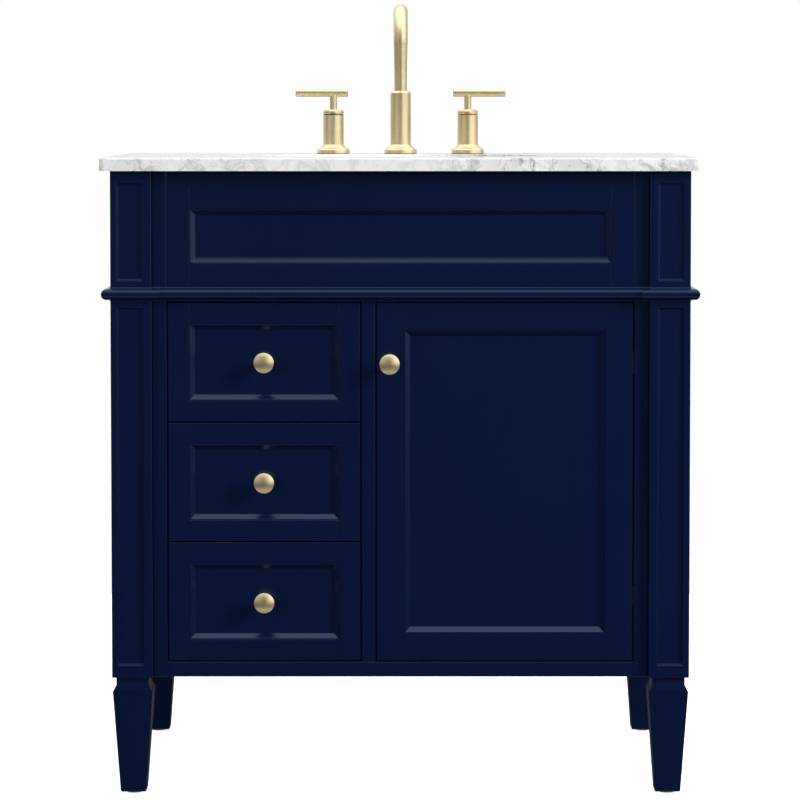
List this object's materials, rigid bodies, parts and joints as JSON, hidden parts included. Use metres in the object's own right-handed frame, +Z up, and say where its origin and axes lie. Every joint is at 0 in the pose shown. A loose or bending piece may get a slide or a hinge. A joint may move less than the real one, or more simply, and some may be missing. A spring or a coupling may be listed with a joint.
{
  "type": "bathroom vanity cabinet",
  "caption": "Navy bathroom vanity on tapered legs with drawers, a door, a waist moulding, a white marble top, an oval basin and a brushed gold widespread faucet.",
  "frame": {"origin": "on the floor, under the middle of the marble top (its width and its depth)", "axes": "+X to the right seen from the front, -Y towards the user, +Y to the wall, +Z up"},
  "size_m": [0.832, 0.549, 1.113],
  "materials": {
    "navy_lacquer": "satin lacquer over painted hardwood",
    "marble": "polished, white with soft grey veins",
    "white_china": "gloss glaze",
    "champagne_brass": "fine brushed",
    "birch_ply": "clear lacquer",
    "zinc_steel": "zinc plated",
    "dark_rubber": "matt",
    "grey_nylon": "matt",
    "red_ring": "gloss",
    "blue_ring": "gloss"
  },
  "bodies": {
    "cabinet": {"countertop": "marble", "sink_bowl": "white_china", "sink_clips": "zinc_steel", "locknuts": "grey_nylon", "faucet_gaskets": "dark_rubber", "leg_glides": "grey_nylon", "slide_cabinet_members": "zinc_steel", "hinge_arms": "zinc_steel", "cold_index_ring": "blue_ring", "hot_index_ring": "red_ring", "left_front_column": "navy_lacquer", "right_front_column": "navy_lacquer", "left_rear_post": "navy_lacquer", "right_rear_post": "navy_lacquer", "left_side_panel": "navy_lacquer", "right_side_panel": "navy_lacquer", "face_frame_rails": "navy_lacquer", "face_frame_stiles": "navy_lacquer", "fixed_front": "navy_lacquer", "left_waist_moulding": "navy_lacquer", "right_waist_moulding": "navy_lacquer", "front_waist_moulding": "navy_lacquer", "front_left_leg": "navy_lacquer", "front_right_leg": "navy_lacquer", "rear_left_leg": "navy_lacquer", "rear_right_leg": "navy_lacquer", "cabinet_floor": "birch_ply", "partition_panel": "birch_ply", "drawer_side_board": "birch_ply", "hinge_cleat": "birch_ply", "back_panel": "birch_ply", "hanging_rail": "birch_ply", "top_corner_blocks": "birch_ply", "cold_valve_body": "champagne_brass", "hot_valve_body": "champagne_brass", "spout_body": "champagne_brass", "drain_body": "champagne_brass"},
    "door": {"door_frame": "navy_lacquer", "door_panel": "navy_lacquer", "door_knob": "champagne_brass", "door_hinge_cups": "zinc_steel"},
    "cold_handle": {"cold_lever": "champagne_brass"},
    "hot_handle": {"hot_lever": "champagne_brass"},
    "spout": {"spout_tube": "champagne_brass"},
    "stopper": {"drain_stopper": "champagne_brass"},
    "drawer_1": {"drawer_1_front": "navy_lacquer", "drawer_1_box": "birch_ply", "drawer_1_knob": "champagne_brass", "slide_1_drawer_members": "zinc_steel"},
    "slide_1_middle": {"slide_1_middle_members": "zinc_steel"},
    "drawer_2": {"drawer_2_front": "navy_lacquer", "drawer_2_box": "birch_ply", "drawer_2_knob": "champagne_brass", "slide_2_drawer_members": "zinc_steel"},
    "slide_2_middle": {"slide_2_middle_members": "zinc_steel"},
    "drawer_3": {"drawer_3_front": "navy_lacquer", "drawer_3_box": "birch_ply", "drawer_3_knob": "champagne_brass", "slide_3_drawer_members": "zinc_steel"},
    "slide_3_middle": {"slide_3_middle_members": "zinc_steel"}
  },
  "joints": [
    {"name": "drawer_1_slide", "type": "slide", "parent": "cabinet", "child": "drawer_1", "axis": [0, -1, 0], "range_m": [0, 0.4]},
    {"name": "slide_1_middle_slide", "type": "slide", "parent": "cabinet", "child": "slide_1_middle", "axis": [0, -1, 0], "range_m": [0, 0.2]},
    {"name": "drawer_2_slide", "type": "slide", "parent": "cabinet", "child": "drawer_2", "axis": [0, -1, 0], "range_m": [0, 0.4]},
    {"name": "slide_2_middle_slide", "type": "slide", "parent": "cabinet", "child": "slide_2_middle", "axis": [0, -1, 0], "range_m": [0, 0.2]},
    {"name": "drawer_3_slide", "type": "slide", "parent": "cabinet", "child": "drawer_3", "axis": [0, -1, 0], "range_m": [0, 0.4]},
    {"name": "slide_3_middle_slide", "type": "slide", "parent": "cabinet", "child": "slide_3_middle", "axis": [0, -1, 0], "range_m": [0, 0.2]},
    {"name": "door_hinge", "type": "hinge", "parent": "cabinet", "child": "door", "pos_m": [0.324, -0.249, 0.438], "axis": [0, 0, 1], "range_deg": [0, 105]},
    {"name": "cold_turn", "type": "hinge", "parent": "cabinet", "child": "cold_handle", "pos_m": [-0.1016, 0.191, 0.95], "axis": [0, 0, 1], "range_deg": [0, 90]},
    {"name": "hot_turn", "type": "hinge", "parent": "cabinet", "child": "hot_handle", "pos_m": [0.1016, 0.191, 0.95], "axis": [0, 0, -1], "range_deg": [0, 90]},
    {"name": "spout_swivel", "type": "hinge", "parent": "cabinet", "child": "spout", "pos_m": [0, 0.191, 0.95], "axis": [0, 0, 1], "range_deg": [-60, 60]},
    {"name": "stopper_lift", "type": "slide", "parent": "cabinet", "child": "stopper", "axis": [0, 0, 1], "range_m": [0, 0.008]}
  ],
  "couplings": [
    {"joint": "slide_1_middle_slide", "follows": "drawer_1_slide", "ratio": 0.5},
    {"joint": "slide_2_middle_slide", "follows": "drawer_2_slide", "ratio": 0.5},
    {"joint": "slide_3_middle_slide", "follows": "drawer_3_slide", "ratio": 0.5}
  ]
}
